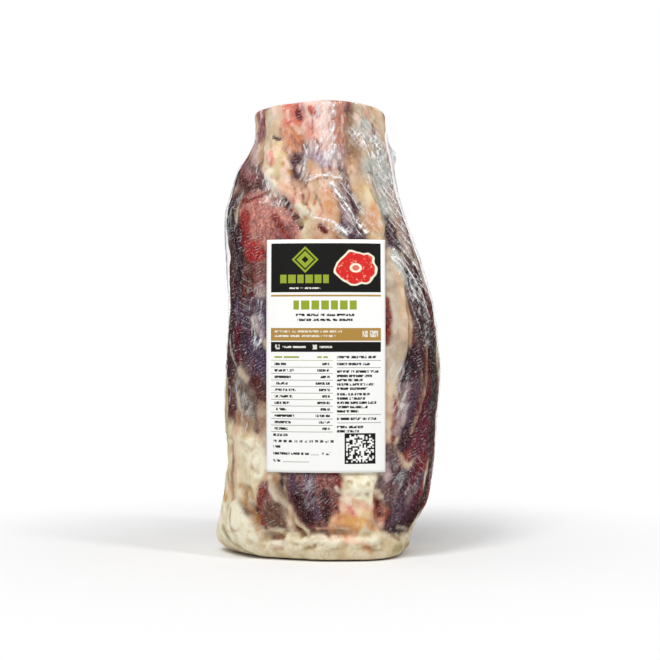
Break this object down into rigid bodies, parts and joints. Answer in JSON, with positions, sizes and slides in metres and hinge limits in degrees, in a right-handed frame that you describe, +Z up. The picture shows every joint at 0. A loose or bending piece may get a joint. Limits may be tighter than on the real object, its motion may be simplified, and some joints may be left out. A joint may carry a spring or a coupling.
{
  "type": "wrapped raw beef shank",
  "caption": "Raw bone-in beef shank sawn off square at both ends, wrapped tight in clear film with a printed label on the front, standing on its wide end.",
  "frame": {"origin": "on the floor, under the middle of the pack's bounding box", "axes": "+Z up along the shank from its wide end to its narrow end, -Y out of the front that carries the label, +X to the right of someone facing the label"},
  "size_m": [0.144, 0.1144, 0.285],
  "materials": {
    "raw_meat": "moist raw beef, dark red to purple muscle between cream fat and pale tendon, seen through clear film",
    "bone": "sawn raw bone, matte cream with a pink tinge",
    "marrow": "soft pink-cream marrow",
    "label_paper": "white satin paper printed with black, ochre, green and red fields",
    "clear_film": "thin clear stretch film with sharp glossy creases"
  },
  "bodies": {
    "root": {"wrapped_shank": "raw_meat", "bone": "bone", "marrow": "marrow", "label": "label_paper"}
  },
  "joints": []
}
